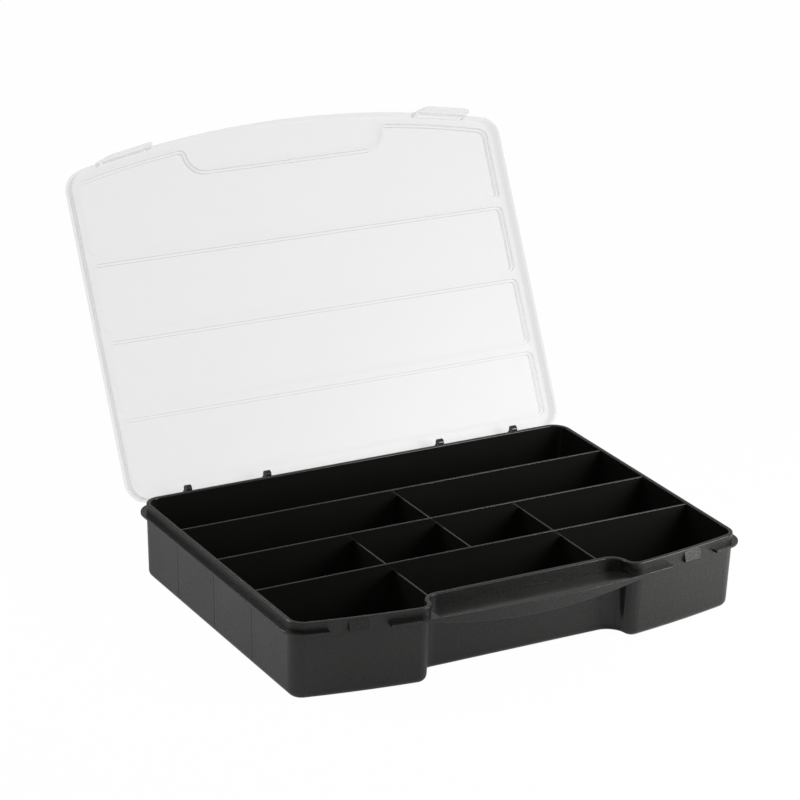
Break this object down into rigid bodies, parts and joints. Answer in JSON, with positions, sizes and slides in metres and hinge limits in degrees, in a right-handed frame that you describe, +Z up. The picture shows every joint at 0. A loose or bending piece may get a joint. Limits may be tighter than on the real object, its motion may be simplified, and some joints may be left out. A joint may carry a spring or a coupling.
{
  "type": "compartment organizer box",
  "caption": "Shallow black organizer tray with fixed dividers, a hinged clear lid held by snap latches, and a carry handle over a finger recess.",
  "frame": {"origin": "middle of the tray's flat underside, half way between the side walls and between the back wall and the straight wall of the finger recess", "axes": "+X to the right as seen from the front, +Y towards the hinged back, +Z up"},
  "size_m": [0.2986, 0.3274, 0.2351],
  "materials": {
    "tray_plastic": "fine spark-eroded texture, semi-matt black polypropylene",
    "lid_plastic": "clear polypropylene, slightly milky, smooth"
  },
  "bodies": {
    "tray": {"tray_shell": "tray_plastic", "carry_handle": "tray_plastic", "long_divider_back": "tray_plastic", "long_divider_middle": "tray_plastic", "long_divider_front": "tray_plastic", "cross_divider_second_row_middle": "tray_plastic", "cross_divider_third_row_left": "tray_plastic", "cross_divider_third_row_middle": "tray_plastic", "cross_divider_third_row_right": "tray_plastic", "cross_divider_front_row_left": "tray_plastic", "cross_divider_front_row_right": "tray_plastic", "hinge_ear_left_outer": "tray_plastic", "hinge_ear_left_inner": "tray_plastic", "hinge_ear_right_inner": "tray_plastic", "hinge_ear_right_outer": "tray_plastic", "catch_left": "tray_plastic", "catch_right": "tray_plastic"},
    "lid": {"lid_shell": "lid_plastic", "hinge_bar_left": "lid_plastic", "hinge_bar_right": "lid_plastic"},
    "latch_left": {"latch_left": "lid_plastic"},
    "latch_right": {"latch_right": "lid_plastic"}
  },
  "joints": [
    {"name": "lid_hinge", "type": "hinge", "parent": "tray", "child": "lid", "pos_m": [0, 0.1009, 0.0418], "axis": [1, 0, 0], "range_deg": [0, 117.5]},
    {"name": "latch_left_flex", "type": "hinge", "parent": "lid", "child": "latch_left", "pos_m": [-0.10917, 0.20436, 0.22106], "axis": [-0.9858, -0.0775, -0.1489], "range_deg": [0, 20], "stiffness_Nm_per_rad": 0.05},
    {"name": "latch_right_flex", "type": "hinge", "parent": "lid", "child": "latch_right", "pos_m": [0.10917, 0.20436, 0.22106], "axis": [-0.9858, 0.0775, 0.1489], "range_deg": [0, 20], "stiffness_Nm_per_rad": 0.05}
  ]
}
